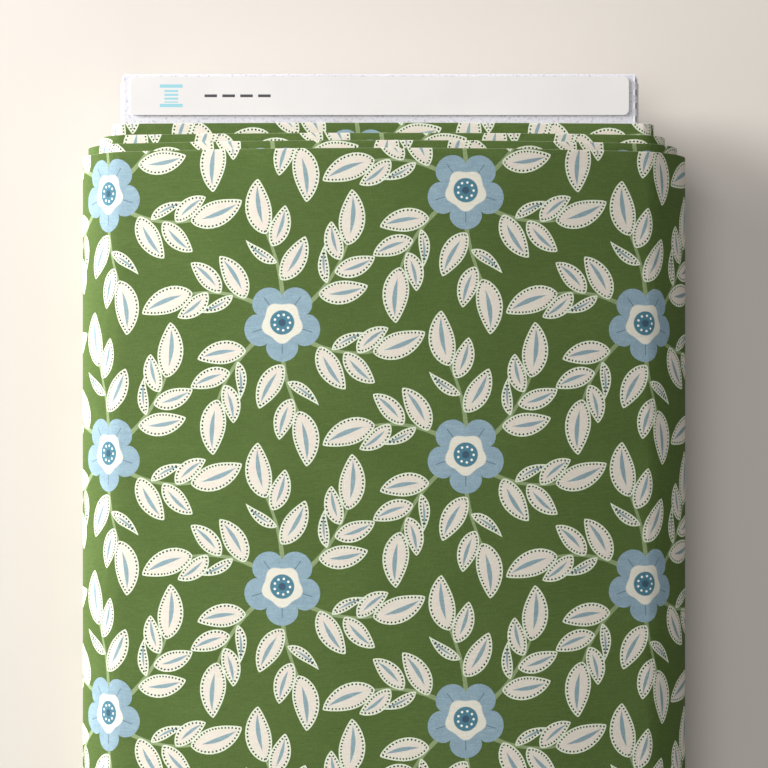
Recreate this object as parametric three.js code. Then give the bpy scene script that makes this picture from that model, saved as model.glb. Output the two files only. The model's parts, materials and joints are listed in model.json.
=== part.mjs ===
// A flat-fold bolt of printed quilting cotton: doubled cloth wound round a hollow carton board.
// Millimetres. The bolt lies on its back: +X across it, +Y towards the label end, +Z up.
// The origin is at the bottom centre of the whole bolt.

import * as THREE from 'three';

// ---- Driving dimensions ---------------------------------------------------------------------

const GAP = 0.3; // air kept between pieces that touch

// Carton board: 8 in by 24 in by 3/4 in, folded from B-flute corrugated sheet.
const BOARD_WIDTH = 203.2;
const BOARD_LENGTH = 609.6;
const BOARD_DEPTH = 19;
const SHEET = 3; // thickness of the corrugated sheet

// Cloth: doubled, wound round the board, with slack on the right side only.
const SLACK_RIGHT = 2.4; // air between the board's right side and the first turn
const TAPE_ROOM = 0.9; // air over the board's front, where the starting tape lies
const FOLDED_WIDTH = 559; // 44 in cloth folded in half along its length
const HOLLOW_CORNER = 0.6; // inside radius of the first turn, drawn over the board's sharp corner
const BOARD_CORNER = 1.5; // bend radius that the build-up adds to on the outside
const ARC_STEPS = 8; // segments in each rounded corner

// The four groups of turns stand in steps. Each entry: build-up of the group on the faces and
// at the sides, and how far its folded edge lies below the label end of the board.
const TURN_GROUPS = [
  { name: 'fabric_inner_turns', flat: 3.7, side: 3.6, below: 20 },
  { name: 'fabric_second_turns', flat: 4.3, side: 4.3, below: 25 },
  { name: 'fabric_third_turns', flat: 4.9, side: 4.9, below: 29 },
  { name: 'fabric_outer_turns', flat: 2.6, side: 2.2, below: 32.5 },
];

// Loose end of the cloth, hanging down the right side from the front corner.
const TAIL_THICKNESS = 0.7; // two plies
const TAIL_FLOOR_GAP = 1.5; // between its cut edge and the surface below
const TAIL_WIDTH = 557;
const TAIL_SETBACK = 1; // its folded edge lies this far below the outer turns' edge

// End closures of the board.
const FLAP_HEIGHT = 15.2; // tuck flap, from its crease to its top
const TONGUE_LENGTH = 9;
const TONGUE_THICKNESS = 1.6; // crushed along its crease
const TONGUE_SLOPE = THREE.MathUtils.degToRad(12); // leans down into the board
const TONGUE_HALF_WIDTH = 92;
const TONGUE_CORNER = 6; // width of the rounded-off free corner
const DUST_FLAP_LENGTH = 24;
const DUST_FLAP_TOP = 11; // above the board's back face
const DUST_FLAP_TAPER = 2; // how much lower its free end is

// Pieces inside the board.
const GLUE_FLAP_WIDTH = 25;
const GLUE_FLAP_END_GAP = 32; // from each end of the board
const SPACER_END_GAP = 42;
const SPACER_HALF_WIDTH = 66;
const SPACER_RIBS = 5; // upright webs of the folded insert

// Paper label and the tape that starts the winding.
const LABEL_WIDTH = 195;
const LABEL_HEIGHT = 15;
const LABEL_BELOW = 1.2; // from the end of the board
const LABEL_CORNER = 2.2;
const LABEL_THICKNESS = 0.3;
const TAPE_WIDTH = 48;
const TAPE_LENGTH = 60;
const TAPE_THICKNESS = 0.3;
const TAPE_SPACING = 170;
const TAPE_COUNT = 3;

// ---- Derived places -------------------------------------------------------------------------

const total = (measure) => TURN_GROUPS.reduce((sum, group) => sum + group[measure], 0);
const BUILD_UP_FLAT = total('flat'); // over the front and the back
const BUILD_UP_LEFT = total('side');
const BUILD_UP_RIGHT = SLACK_RIGHT + total('side') + GAP + TAIL_THICKNESS;
const TOTAL_WIDTH = BUILD_UP_LEFT + BOARD_WIDTH + BUILD_UP_RIGHT;
const BOARD_LEFT = -TOTAL_WIDTH / 2 + BUILD_UP_LEFT;
const BOARD_RIGHT = BOARD_LEFT + BOARD_WIDTH;
const BOARD_MIDDLE = (BOARD_LEFT + BOARD_RIGHT) / 2;
const BOARD_BACK = BUILD_UP_FLAT;
const BOARD_FRONT = BOARD_BACK + BOARD_DEPTH;
const BOARD_END = BOARD_LENGTH / 2;
const INNER_BACK = BOARD_BACK + SHEET + GAP; // lowest height inside the board
const INNER_FRONT = BOARD_FRONT - SHEET - GAP; // greatest height inside the board
const WALL_LENGTH = BOARD_LENGTH - 2 * (SHEET + GAP); // walls stop short of the tuck flaps

// ---- Materials ------------------------------------------------------------------------------

const COLOURS = {
  cloth: 0x4f7338,
  board: 0xd9d8dc,
  label: 0xf2f0ec,
  tape: 0xd8c79a,
};

function material(kind, roughness) {
  return new THREE.MeshStandardMaterial({ color: COLOURS[kind], roughness, metalness: 0 });
}

// ---- Building helpers -----------------------------------------------------------------------

const bolt = new THREE.Group();

function addMesh(name, geometry, surface, parent = bolt) {
  const mesh = new THREE.Mesh(geometry, surface);
  mesh.name = name;
  parent.add(mesh);
  return mesh;
}

// A plain plate between two corners.
function addPlate(name, low, high, surface) {
  const size = high.map((value, axis) => value - low[axis]);
  const mesh = addMesh(name, new THREE.BoxGeometry(...size), surface);
  mesh.position.set(...low.map((value, axis) => value + size[axis] / 2));
  return mesh;
}

// Traces a rounded rectangle, anticlockwise, on a Shape or a Path.
function traceRoundedRectangle(path, left, right, bottom, top, radius) {
  path.moveTo(left + radius, bottom);
  path.lineTo(right - radius, bottom);
  path.absarc(right - radius, bottom + radius, radius, -Math.PI / 2, 0);
  path.lineTo(right, top - radius);
  path.absarc(right - radius, top - radius, radius, 0, Math.PI / 2);
  path.lineTo(left + radius, top);
  path.absarc(left + radius, top - radius, radius, Math.PI / 2, Math.PI);
  path.lineTo(left, bottom + radius);
  path.absarc(left + radius, bottom + radius, radius, Math.PI, Math.PI * 1.5);
  return path;
}

// Extrudes a cross-section drawn in X and Z along the length of the bolt, from low Y to high Y.
function extrudeAlongLength(name, section, lowY, highY, surface) {
  const options = { depth: highY - lowY, bevelEnabled: false, curveSegments: ARC_STEPS };
  const mesh = addMesh(name, new THREE.ExtrudeGeometry(section, options), surface);
  mesh.rotation.x = Math.PI / 2;
  mesh.position.y = highY;
  return mesh;
}

// ---- Cloth ----------------------------------------------------------------------------------

// Nested tubes of wound cloth. The outer wall of each one is the sum of the build-up inside it.
function addTurnGroups() {
  let inside = {
    left: BOARD_LEFT - GAP,
    right: BOARD_RIGHT + SLACK_RIGHT,
    bottom: BOARD_BACK - GAP,
    top: BOARD_FRONT + TAPE_ROOM,
    radius: HOLLOW_CORNER,
  };
  let flat = 0;
  let side = 0;
  for (const group of TURN_GROUPS) {
    flat += group.flat;
    side += group.side;
    const outside = {
      left: BOARD_LEFT - side,
      right: BOARD_RIGHT + SLACK_RIGHT + side,
      bottom: BOARD_BACK - flat,
      top: BOARD_FRONT + flat,
      radius: BOARD_CORNER + flat,
    };
    const section = new THREE.Shape();
    const hole = new THREE.Path();
    const walls = (w) => [w.left, w.right, w.bottom, w.top, w.radius];
    traceRoundedRectangle(section, ...walls(outside));
    section.holes.push(traceRoundedRectangle(hole, ...walls(inside)));
    const folded = BOARD_END - group.below;
    const surface = material('cloth', 0.9);
    extrudeAlongLength(group.name, section, folded - FOLDED_WIDTH, folded, surface);
    inside = {
      left: outside.left - GAP,
      right: outside.right + GAP,
      bottom: outside.bottom - GAP,
      top: outside.top + GAP,
      radius: outside.radius + GAP,
    };
  }
}

// The last length of cloth, which hangs from the front right corner.
function addTail() {
  const outerGroup = TURN_GROUPS.at(-1);
  const outer = TOTAL_WIDTH / 2;
  const cornerStart = BOARD_FRONT - BOARD_CORNER; // height where the outer turn's corner begins
  const folded = BOARD_END - outerGroup.below - TAIL_SETBACK;
  addPlate(
    'fabric_tail',
    [outer - TAIL_THICKNESS, folded - TAIL_WIDTH, TAIL_FLOOR_GAP],
    [outer, folded, cornerStart],
    material('cloth', 0.9),
  );
}

// ---- Board ----------------------------------------------------------------------------------

// The four walls of the folded sleeve and its glue flap.
function addSleeve() {
  const wallEnd = WALL_LENGTH / 2;
  addPlate(
    'board_front_panel',
    [BOARD_LEFT, -BOARD_END, BOARD_FRONT - SHEET],
    [BOARD_RIGHT, BOARD_END, BOARD_FRONT],
    material('board', 0.85),
  );
  addPlate(
    'board_back_panel',
    [BOARD_LEFT, -wallEnd, BOARD_BACK],
    [BOARD_RIGHT, wallEnd, BOARD_BACK + SHEET],
    material('board', 0.85),
  );
  addPlate(
    'board_left_side',
    [BOARD_LEFT, -wallEnd, INNER_BACK],
    [BOARD_LEFT + SHEET, wallEnd, INNER_FRONT],
    material('board', 0.85),
  );
  addPlate(
    'board_right_side',
    [BOARD_RIGHT - SHEET, -wallEnd, INNER_BACK],
    [BOARD_RIGHT, wallEnd, INNER_FRONT],
    material('board', 0.85),
  );
  const glueEnd = BOARD_END - GLUE_FLAP_END_GAP;
  const glueLeft = BOARD_LEFT + SHEET + GAP;
  addPlate(
    'board_glue_flap',
    [glueLeft, -glueEnd, INNER_FRONT - SHEET],
    [glueLeft + GLUE_FLAP_WIDTH, glueEnd, INNER_FRONT],
    material('board', 0.85),
  );
}

// A strip of board folded to and fro, which keeps the two broad panels apart.
function addSpacer() {
  const spacing = (2 * SPACER_HALF_WIDTH) / SPACER_RIBS;
  const low = INNER_BACK;
  const high = INNER_FRONT;
  const lower = []; // side of the strip that faces the back panel
  const upper = []; // side that faces the front panel
  for (let rib = 0; rib < SPACER_RIBS; rib += 1) {
    const x = BOARD_MIDDLE - SPACER_HALF_WIDTH + (rib + 0.5) * spacing;
    const rising = rib % 2 === 0;
    if (rising) {
      lower.push([x + SHEET / 2, low], [x + SHEET / 2, high - SHEET]);
      upper.push([x - SHEET / 2, low + SHEET], [x - SHEET / 2, high]);
    } else {
      lower.push([x - SHEET / 2, high - SHEET], [x - SHEET / 2, low]);
      upper.push([x + SHEET / 2, high], [x + SHEET / 2, low + SHEET]);
    }
  }
  const left = BOARD_MIDDLE - SPACER_HALF_WIDTH;
  const right = BOARD_MIDDLE + SPACER_HALF_WIDTH;
  const outline = [
    [left, low],
    ...lower,
    [right, high - SHEET],
    [right, high],
    ...upper.reverse(),
    [left, low + SHEET],
  ];
  const section = new THREE.Shape(outline.map(([x, z]) => new THREE.Vector2(x, z)));
  const end = BOARD_END - SPACER_END_GAP;
  extrudeAlongLength('board_spacer', section, -end, end, material('board', 0.85));
}

// Tuck flap, tongue and dust flaps of one end: outward is +1 at the label end, -1 at the foot.
function addEndClosure(prefix, outward) {
  const end = outward * BOARD_END;
  const inward = (distance) => end - outward * distance; // a place inside the board
  const ordered = (a, b) => [Math.min(a, b), Math.max(a, b)];

  const [flapLow, flapHigh] = ordered(end, inward(SHEET));
  addPlate(
    `${prefix}_tuck_flap`,
    [BOARD_LEFT, flapLow, BOARD_BACK],
    [BOARD_RIGHT, flapHigh, BOARD_BACK + FLAP_HEIGHT],
    material('board', 0.85),
  );

  // The tongue is drawn flat from its crease, with its free corners cut, and then leans down.
  const outline = new THREE.Shape();
  outline.moveTo(-TONGUE_HALF_WIDTH, 0);
  outline.lineTo(TONGUE_HALF_WIDTH, 0);
  outline.lineTo(TONGUE_HALF_WIDTH - TONGUE_CORNER / 2, TONGUE_LENGTH - TONGUE_CORNER / 2);
  outline.lineTo(TONGUE_HALF_WIDTH - TONGUE_CORNER, TONGUE_LENGTH);
  outline.lineTo(TONGUE_CORNER - TONGUE_HALF_WIDTH, TONGUE_LENGTH);
  outline.lineTo(TONGUE_CORNER / 2 - TONGUE_HALF_WIDTH, TONGUE_LENGTH - TONGUE_CORNER / 2);
  const plate = new THREE.ExtrudeGeometry(outline, {
    depth: TONGUE_THICKNESS,
    bevelEnabled: false,
  });
  const crease = new THREE.Group();
  crease.position.set(
    BOARD_MIDDLE,
    inward(SHEET + GAP),
    BOARD_BACK + FLAP_HEIGHT - TONGUE_THICKNESS,
  );
  if (outward > 0) crease.rotation.z = Math.PI;
  bolt.add(crease);
  const tongue = addMesh(`${prefix}_tuck_tongue`, plate, material('board', 0.85), crease);
  tongue.rotation.x = -TONGUE_SLOPE;

  for (const side of [-1, 1]) {
    const hinge = side < 0 ? BOARD_LEFT + SHEET + GAP : BOARD_RIGHT - SHEET - GAP;
    const reach = hinge - side * DUST_FLAP_LENGTH;
    const low = INNER_BACK;
    const high = BOARD_BACK + DUST_FLAP_TOP;
    const corners = [
      [hinge, low],
      [reach, low + DUST_FLAP_TAPER / 2],
      [reach, high - DUST_FLAP_TAPER],
      [hinge, high],
    ];
    const section = new THREE.Shape(corners.map(([x, z]) => new THREE.Vector2(x, z)));
    const [lowY, highY] = ordered(inward(SHEET + GAP), inward(2 * SHEET + GAP));
    const name = `${prefix}_dust_flap_${side < 0 ? 'left' : 'right'}`;
    extrudeAlongLength(name, section, lowY, highY, material('board', 0.85));
  }
}

// ---- Label and tape -------------------------------------------------------------------------

function addLabel() {
  const outline = traceRoundedRectangle(
    new THREE.Shape(),
    -LABEL_WIDTH / 2,
    LABEL_WIDTH / 2,
    -LABEL_HEIGHT / 2,
    LABEL_HEIGHT / 2,
    LABEL_CORNER,
  );
  const options = { depth: LABEL_THICKNESS, bevelEnabled: false, curveSegments: ARC_STEPS / 2 };
  const geometry = new THREE.ExtrudeGeometry(outline, options);
  const mesh = addMesh('end_label', geometry, material('label', 0.6));
  const middle = BOARD_END - LABEL_BELOW - LABEL_HEIGHT / 2;
  mesh.position.set(BOARD_MIDDLE, middle, BOARD_FRONT + GAP);
}

// Strips of tape that hold the first edge of the cloth to the board's front panel.
function addStartTapes() {
  for (let index = 0; index < TAPE_COUNT; index += 1) {
    const y = (index - (TAPE_COUNT - 1) / 2) * TAPE_SPACING;
    const right = BOARD_RIGHT - TAPE_LENGTH;
    addPlate(
      `start_tape_${index + 1}`,
      [right - TAPE_LENGTH, y - TAPE_WIDTH / 2, BOARD_FRONT + GAP],
      [right, y + TAPE_WIDTH / 2, BOARD_FRONT + GAP + TAPE_THICKNESS],
      material('tape', 0.7),
    );
  }
}

// ---- Assembly -------------------------------------------------------------------------------

addTurnGroups();
addTail();
addSleeve();
addSpacer();
addEndClosure('label_end', 1);
addEndClosure('foot_end', -1);
addLabel();
addStartTapes();

export default bolt;
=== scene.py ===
import json
import math

import bmesh
import bpy
import numpy as np
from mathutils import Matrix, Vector
from mathutils.geometry import delaunay_2d_cdt

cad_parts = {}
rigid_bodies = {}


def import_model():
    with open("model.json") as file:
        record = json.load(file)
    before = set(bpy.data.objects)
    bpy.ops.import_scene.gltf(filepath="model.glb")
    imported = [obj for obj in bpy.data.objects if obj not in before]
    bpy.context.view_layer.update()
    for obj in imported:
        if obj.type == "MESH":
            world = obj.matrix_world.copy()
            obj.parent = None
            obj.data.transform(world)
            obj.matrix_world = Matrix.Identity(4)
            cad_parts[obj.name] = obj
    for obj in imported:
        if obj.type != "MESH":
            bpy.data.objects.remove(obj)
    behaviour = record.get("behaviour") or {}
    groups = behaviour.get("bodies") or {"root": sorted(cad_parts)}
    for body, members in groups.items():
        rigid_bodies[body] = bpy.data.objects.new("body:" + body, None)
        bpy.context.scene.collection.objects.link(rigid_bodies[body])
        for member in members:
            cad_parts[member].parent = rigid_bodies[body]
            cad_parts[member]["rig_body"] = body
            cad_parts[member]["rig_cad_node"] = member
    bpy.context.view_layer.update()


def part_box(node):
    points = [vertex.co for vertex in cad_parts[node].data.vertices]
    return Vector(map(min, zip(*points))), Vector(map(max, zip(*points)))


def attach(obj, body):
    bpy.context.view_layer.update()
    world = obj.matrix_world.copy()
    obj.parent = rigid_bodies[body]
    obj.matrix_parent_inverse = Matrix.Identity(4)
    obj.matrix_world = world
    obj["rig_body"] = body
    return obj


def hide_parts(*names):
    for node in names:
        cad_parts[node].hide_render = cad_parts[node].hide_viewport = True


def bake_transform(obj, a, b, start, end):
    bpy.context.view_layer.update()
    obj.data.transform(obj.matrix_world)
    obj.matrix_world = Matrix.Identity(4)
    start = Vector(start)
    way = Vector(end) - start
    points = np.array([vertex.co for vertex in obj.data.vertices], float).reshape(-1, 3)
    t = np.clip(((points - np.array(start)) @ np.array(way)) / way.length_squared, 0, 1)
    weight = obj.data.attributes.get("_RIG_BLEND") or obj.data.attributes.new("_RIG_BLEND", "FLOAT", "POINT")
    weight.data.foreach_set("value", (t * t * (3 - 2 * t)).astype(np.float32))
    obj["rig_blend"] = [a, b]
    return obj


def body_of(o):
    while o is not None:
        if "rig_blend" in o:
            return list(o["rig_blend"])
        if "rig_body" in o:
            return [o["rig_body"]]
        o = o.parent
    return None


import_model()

# A flat-fold bolt of printed cotton on a carton board. Shapes are worked out in millimetres in
# the frame of the CAD model and become metres when a mesh is made.

MM = 1000.0


def millimetres(node):
    """Lowest and highest corner of a CAD node, in millimetres."""
    low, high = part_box(node)
    return np.array(low) * MM, np.array(high) * MM


FRONT_LOW, FRONT_HIGH = millimetres("board_front_panel")
BACK_LOW, BACK_HIGH = millimetres("board_back_panel")
OUTER_HIGH = millimetres("fabric_outer_turns")[1]
TAIL_LOW, TAIL_HIGH = millimetres("fabric_tail")
BOARD_LEFT, BOARD_RIGHT = FRONT_LOW[0], FRONT_HIGH[0]
BOARD_BACK, BOARD_FRONT = BACK_LOW[2], FRONT_HIGH[2]
BOARD_END = FRONT_HIGH[1]
SHEET = FRONT_HIGH[2] - FRONT_LOW[2]

# ---- Camera, floor and light --------------------------------------------------------------

CAMERA_DISTANCE = 0.51  # from the broad face
CAMERA_BELOW_END = 0.1214  # the view's middle, measured down from the label end of the board
VIEW_WIDTH = 0.2918  # of the broad face, across the picture
FLOOR_SIZE = 6.0
FLOOR_LEVEL = -0.0004  # just under the bolt


def add_camera():
    data = bpy.data.cameras.new("camera")
    camera = bpy.data.objects.new("camera", data)
    bpy.context.collection.objects.link(camera)
    camera.location = (0, BOARD_END / MM - CAMERA_BELOW_END, OUTER_HIGH[2] / MM + CAMERA_DISTANCE)
    data.sensor_width = 36
    data.lens = data.sensor_width * CAMERA_DISTANCE / VIEW_WIDTH
    data.clip_start = 0.01
    data.clip_end = 20
    bpy.context.scene.camera = camera


def add_area_light(name, location, target, size, power, colour):
    data = bpy.data.lights.new(name, "AREA")
    data.shape = "DISK"
    data.size = size
    data.energy = power
    data.color = colour
    light = bpy.data.objects.new(name, data)
    bpy.context.collection.objects.link(light)
    light.location = location
    direction = np.array(target, float) - np.array(location, float)
    light.rotation_euler = Vector(direction).to_track_quat("-Z", "Y").to_euler()


def add_lights():
    bpy.context.scene.view_settings.view_transform = "Standard"
    middle = (0, 0.1, 0.02)
    add_area_light("key", (-1.35, 0.85, 0.40), middle, 0.8, 60, (1.0, 0.985, 0.965))
    add_area_light("fill", (-0.50, 0.30, 1.55), middle, 1.0, 8.5, (1.0, 0.985, 0.97))
    world = bpy.data.worlds.new("studio")
    bpy.context.scene.world = world
    world.use_nodes = True
    background = world.node_tree.nodes["Background"]
    background.inputs["Color"].default_value = (1.0, 0.98, 0.97, 1)
    background.inputs["Strength"].default_value = 0.24


# ---- Shader helpers -----------------------------------------------------------------------


def linear(red, green, blue):
    """A colour written as 0 to 255 in sRGB, for a shader socket."""
    def channel(value):
        value = value / 255
        return value / 12.92 if value <= 0.04045 else ((value + 0.055) / 1.055) ** 2.4

    return (channel(red), channel(green), channel(blue), 1.0)


class Field:
    """A number that varies over a surface: arithmetic on it adds shader nodes."""

    def __init__(self, tree, socket):
        self.tree = tree
        self.socket = socket

    def math(self, operation, *others, clamp=False):
        node = self.tree.nodes.new("ShaderNodeMath")
        node.operation = operation
        node.use_clamp = clamp
        for slot, value in zip(node.inputs, (self, *others)):
            if isinstance(value, Field):
                self.tree.links.new(value.socket, slot)
            else:
                slot.default_value = value
        return Field(self.tree, node.outputs[0])

    def __add__(self, other):
        return self.math("ADD", other)

    def __sub__(self, other):
        return self.math("SUBTRACT", other)

    def __mul__(self, other):
        return self.math("MULTIPLY", other)

    def __truediv__(self, other):
        return self.math("DIVIDE", other)

    def __lt__(self, other):
        return self.math("LESS_THAN", other)

    def __gt__(self, other):
        return self.math("GREATER_THAN", other)

    def ramp(self, low, high):
        """0 below low and 1 above high, with a straight slope between."""
        node = self.tree.nodes.new("ShaderNodeMapRange")
        self.tree.links.new(self.socket, node.inputs["Value"])
        node.inputs["From Min"].default_value = low
        node.inputs["From Max"].default_value = high
        return Field(self.tree, node.outputs["Result"])

    def hypot(self, other):
        return (self * self + other * other).math("SQRT")


class Surface:
    """A material with a Principled shader, and short ways of adding nodes to it."""

    def __init__(self, name, roughness, sheen=0.0):
        self.material = bpy.data.materials.new(name)
        self.material.use_nodes = True
        self.tree = self.material.node_tree
        self.shader = self.tree.nodes["Principled BSDF"]
        self.shader.inputs["Roughness"].default_value = roughness
        self.shader.inputs["Specular IOR Level"].default_value = 0.25
        self.shader.inputs["Sheen Weight"].default_value = sheen
        self.shader.inputs["Sheen Roughness"].default_value = 0.5

    def attribute(self, name):
        """The three numbers of a stored attribute, as fields, and its vector socket."""
        node = self.tree.nodes.new("ShaderNodeAttribute")
        node.attribute_name = name
        split = self.tree.nodes.new("ShaderNodeSeparateXYZ")
        self.tree.links.new(node.outputs["Vector"], split.inputs[0])
        return [Field(self.tree, output) for output in split.outputs], node.outputs["Vector"]

    def place(self):
        """The surface's place in the object, in metres."""
        return self.tree.nodes.new("ShaderNodeTexCoord").outputs["Object"]

    def stretched(self, vector, scale):
        node = self.tree.nodes.new("ShaderNodeMapping")
        node.inputs["Scale"].default_value = scale
        self.tree.links.new(vector, node.inputs["Vector"])
        return node.outputs[0]

    def noise(self, vector, scale, detail=2.0):
        node = self.tree.nodes.new("ShaderNodeTexNoise")
        node.inputs["Scale"].default_value = scale
        node.inputs["Detail"].default_value = detail
        self.tree.links.new(vector, node.inputs["Vector"])
        return Field(self.tree, node.outputs["Fac"])

    def mix(self, share, first, second, blend="MIX"):
        """Second colour over first by a field's share. A colour is a tuple or a socket."""
        node = self.tree.nodes.new("ShaderNodeMix")
        node.data_type = "RGBA"
        node.blend_type = blend
        node.clamp_factor = True
        if isinstance(share, Field):
            self.tree.links.new(share.socket, node.inputs[0])
        else:
            node.inputs[0].default_value = share
        for slot, colour in ((node.inputs[6], first), (node.inputs[7], second)):
            if isinstance(colour, tuple):
                slot.default_value = colour
            else:
                self.tree.links.new(colour, slot)
        return node.outputs[2]

    def grey(self, field):
        """A field as a grey colour socket."""
        node = self.tree.nodes.new("ShaderNodeCombineColor")
        for slot in node.inputs[:3]:
            self.tree.links.new(field.socket, slot)
        return node.outputs[0]

    def bump(self, height, distance, strength=1.0):
        node = self.tree.nodes.new("ShaderNodeBump")
        node.inputs["Distance"].default_value = distance
        node.inputs["Strength"].default_value = strength
        self.tree.links.new(height.socket, node.inputs["Height"])
        self.tree.links.new(node.outputs[0], self.shader.inputs["Normal"])

    def paint(self, colour):
        self.tree.links.new(colour, self.shader.inputs["Base Color"])

    def rough(self, field):
        self.tree.links.new(field.socket, self.shader.inputs["Roughness"])


# ---- The print: one repeat of a leafy floral, worked out by rule ----------------------------

REPEAT = np.array([138.4, 99.6])  # the cloth's pattern repeat, across and along
FLOWER_RADIUS = 14.8
PETALS = 5
PETAL_NOTCH = 0.64  # where two petals meet, beside the flower's radius
FLOWER_TURN = math.radians(18)
LEAF, FLOWER, STEM = 1, 2, 3  # regions of the print; the ground is 0
RIM_DEPTH = 2.4  # how far inside a leaf's edge the distance from it is kept

# A pinwheel of sprays leaves each flower. Each spray: its direction in degrees, how far its stem
# reaches, how far the stem swings round the flower in degrees, and its leaves below the tip's.
SPRAYS = [
    (direction + half_turn, reach, swing, count)
    for half_turn in (0, 180)
    for direction, reach, swing, count in ((32, 38, 18, 4), (88, 34, 12, 3), (140, 36, 22, 4))
]
STEM_START = 7.0  # under the petals
STEM_POINTS = 16
STEM_WIDTHS = (1.9, 0.9)  # at the flower and at the tip
LEAF_PLACES = (0.34, 0.82)  # of the first and the last leaf along a stem
LEAF_SIZES = {"broad": (19.0, 9.4), "lance": (16.0, 5.4)}  # length and width
LEAF_ANGLE = math.radians(54)  # off the stem
LEAF_BEND = math.radians(-30)  # back toward it
TIP_GROWTH = 1.12  # of the leaf at the tip
SHRINK = 0.07  # of each leaf beside the one before


def leaf_profile(kind):
    """Places along a leaf from 0 to 1, and its half-width at each beside the widest."""
    t = 0.5 - 0.5 * np.cos(np.linspace(0, np.pi, 16))
    if kind == "lance":
        return t, np.sin(np.pi * t**0.8) ** 0.9 * (1 - 0.25 * t)
    return t, np.sin(np.pi * t**0.86) ** 0.72


class Leaf:
    """One leaf on the flat cloth: its outline, and its own coordinates for any point."""

    def __init__(self, kind, base, heading, length, width, bend):
        self.base = np.array(base, float)
        self.turn = np.array(
            [[math.cos(heading), -math.sin(heading)], [math.sin(heading), math.cos(heading)]]
        )
        self.length = length
        self.width = width
        self.curvature = bend / length
        t, half = leaf_profile(kind)
        half[0] = half[-1] = 0
        left = self.to_cloth(t * length, half * width * 0.5)
        right = self.to_cloth(t * length, -half * width * 0.45)
        self.outline = np.vstack([left, right[-2:0:-1]])
        step = np.hypot(*np.diff(np.stack([t * length, half * width * 0.5]), axis=1))
        run = np.concatenate([[0], np.cumsum(step)])
        self.run = np.concatenate([run, run[-2:0:-1]])

    def to_cloth(self, along, across):
        angle = along * self.curvature
        reach = 1 / self.curvature
        own = np.stack(
            [np.sin(angle) * (reach - across), reach - np.cos(angle) * (reach - across)], -1
        )
        return self.base + own @ self.turn.T

    def own(self, points):
        """(share of the length, sideways distance over the width) of points on the cloth."""
        flat = (points - self.base) @ self.turn
        reach = 1 / self.curvature
        sign = np.sign(reach)
        radius = np.hypot(flat[:, 0], reach - flat[:, 1])
        angle = np.arctan2(sign * flat[:, 0], sign * (reach - flat[:, 1]))
        along = angle * reach
        return np.stack([along / self.length, (reach - sign * radius) / self.width], -1)

    def margin(self, points):
        """(run along the edge, distance from it) of points in the leaf."""
        start = self.outline
        edge = np.roll(start, -1, axis=0) - start
        gap = points[:, None] - start[None]
        share = np.clip((gap * edge).sum(-1) / (edge**2).sum(-1), 0, 1)
        distance = np.linalg.norm(gap - share[..., None] * edge, axis=-1)
        nearest = distance.argmin(1)
        rows = np.arange(len(points))
        run_step = np.roll(self.run, -1) - self.run
        run = self.run[nearest] + share[rows, nearest] * run_step[nearest]
        return np.stack([run, np.minimum(distance[rows, nearest], RIM_DEPTH)], -1)

    def inner_points(self):
        """Points inside the edge, where the distance from it is to be right."""
        ahead = np.roll(self.outline, -1, axis=0) - np.roll(self.outline, 1, axis=0)
        inward = np.stack([ahead[:, 1], -ahead[:, 0]], -1)
        inward /= np.linalg.norm(inward, axis=1)[:, None]
        found = self.outline + inward * RIM_DEPTH * 0.75
        kept = found[self.margin(found)[:, 1] > RIM_DEPTH * 0.7]
        middle = np.array([0.03, 0.06, 0.1, 0.15, 0.25, 0.4, 0.55, 0.7, 0.82, 0.88, 0.93, 0.97])
        spine = self.to_cloth(middle * self.length, 0 * middle)
        return np.vstack([kept, spine])


def turned(points, angle):
    """Points turned about the origin, counter-clockwise."""
    c, s = math.cos(angle), math.sin(angle)
    return points @ np.array([[c, s], [-s, c]])


def flower_outline(middle):
    """Five round petals."""
    share = 0.5 - 0.5 * np.cos(np.linspace(0, np.pi, 18, endpoint=False))
    radius = FLOWER_RADIUS * (PETAL_NOTCH + (1 - PETAL_NOTCH) * np.sin(np.pi * share) ** 0.55)
    angles = (np.arange(PETALS)[:, None] + share) * (math.tau / PETALS)
    ring = np.stack([np.cos(angles), np.sin(angles)], -1) * radius[None, :, None]
    return np.array(middle) + turned(ring.reshape(-1, 2), FLOWER_TURN)


def spray_parts(spray, middle):
    """A spray's stem outline and its leaves, for the flower at a place on the cloth."""
    direction, reach, swing, count = spray
    share = np.linspace(0, 1, STEM_POINTS)
    bearing = np.radians(direction + swing * share)
    out = STEM_START + (reach - STEM_START) * share
    line = middle + out[:, None] * np.stack([np.cos(bearing), np.sin(bearing)], -1)
    ahead = np.gradient(line, axis=0)
    ahead /= np.linalg.norm(ahead, axis=1)[:, None]
    side = np.stack([-ahead[:, 1], ahead[:, 0]], -1)
    taper = np.interp(share, (0, 1), STEM_WIDTHS)[:, None] / 2
    stem = np.vstack([line - side * taper, (line + side * taper)[::-1]])
    leaves = []
    for index, place in enumerate([*np.linspace(*LEAF_PLACES, count), 1.0]):
        tip = index == count
        kind = "lance" if index % 3 == 1 and not tip else "broad"
        size = TIP_GROWTH if tip else 1 - SHRINK * index
        hand = 1 if index % 2 else -1
        base = [np.interp(place, share, line[:, axis]) for axis in (0, 1)]
        way = [np.interp(place, share, ahead[:, axis]) for axis in (0, 1)]
        heading = math.atan2(way[1], way[0]) + (0 if tip else hand * LEAF_ANGLE)
        length, width = (size * measure for measure in LEAF_SIZES[kind])
        leaves.append(Leaf(kind, base, heading, length, width, hand * LEAF_BEND))
    return stem, leaves


def near_tile(points):
    """True for a shape that reaches the tile."""
    low, high = points.min(0), points.max(0)
    return bool((high > -1).all() and (low < REPEAT + 1).all())


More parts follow.
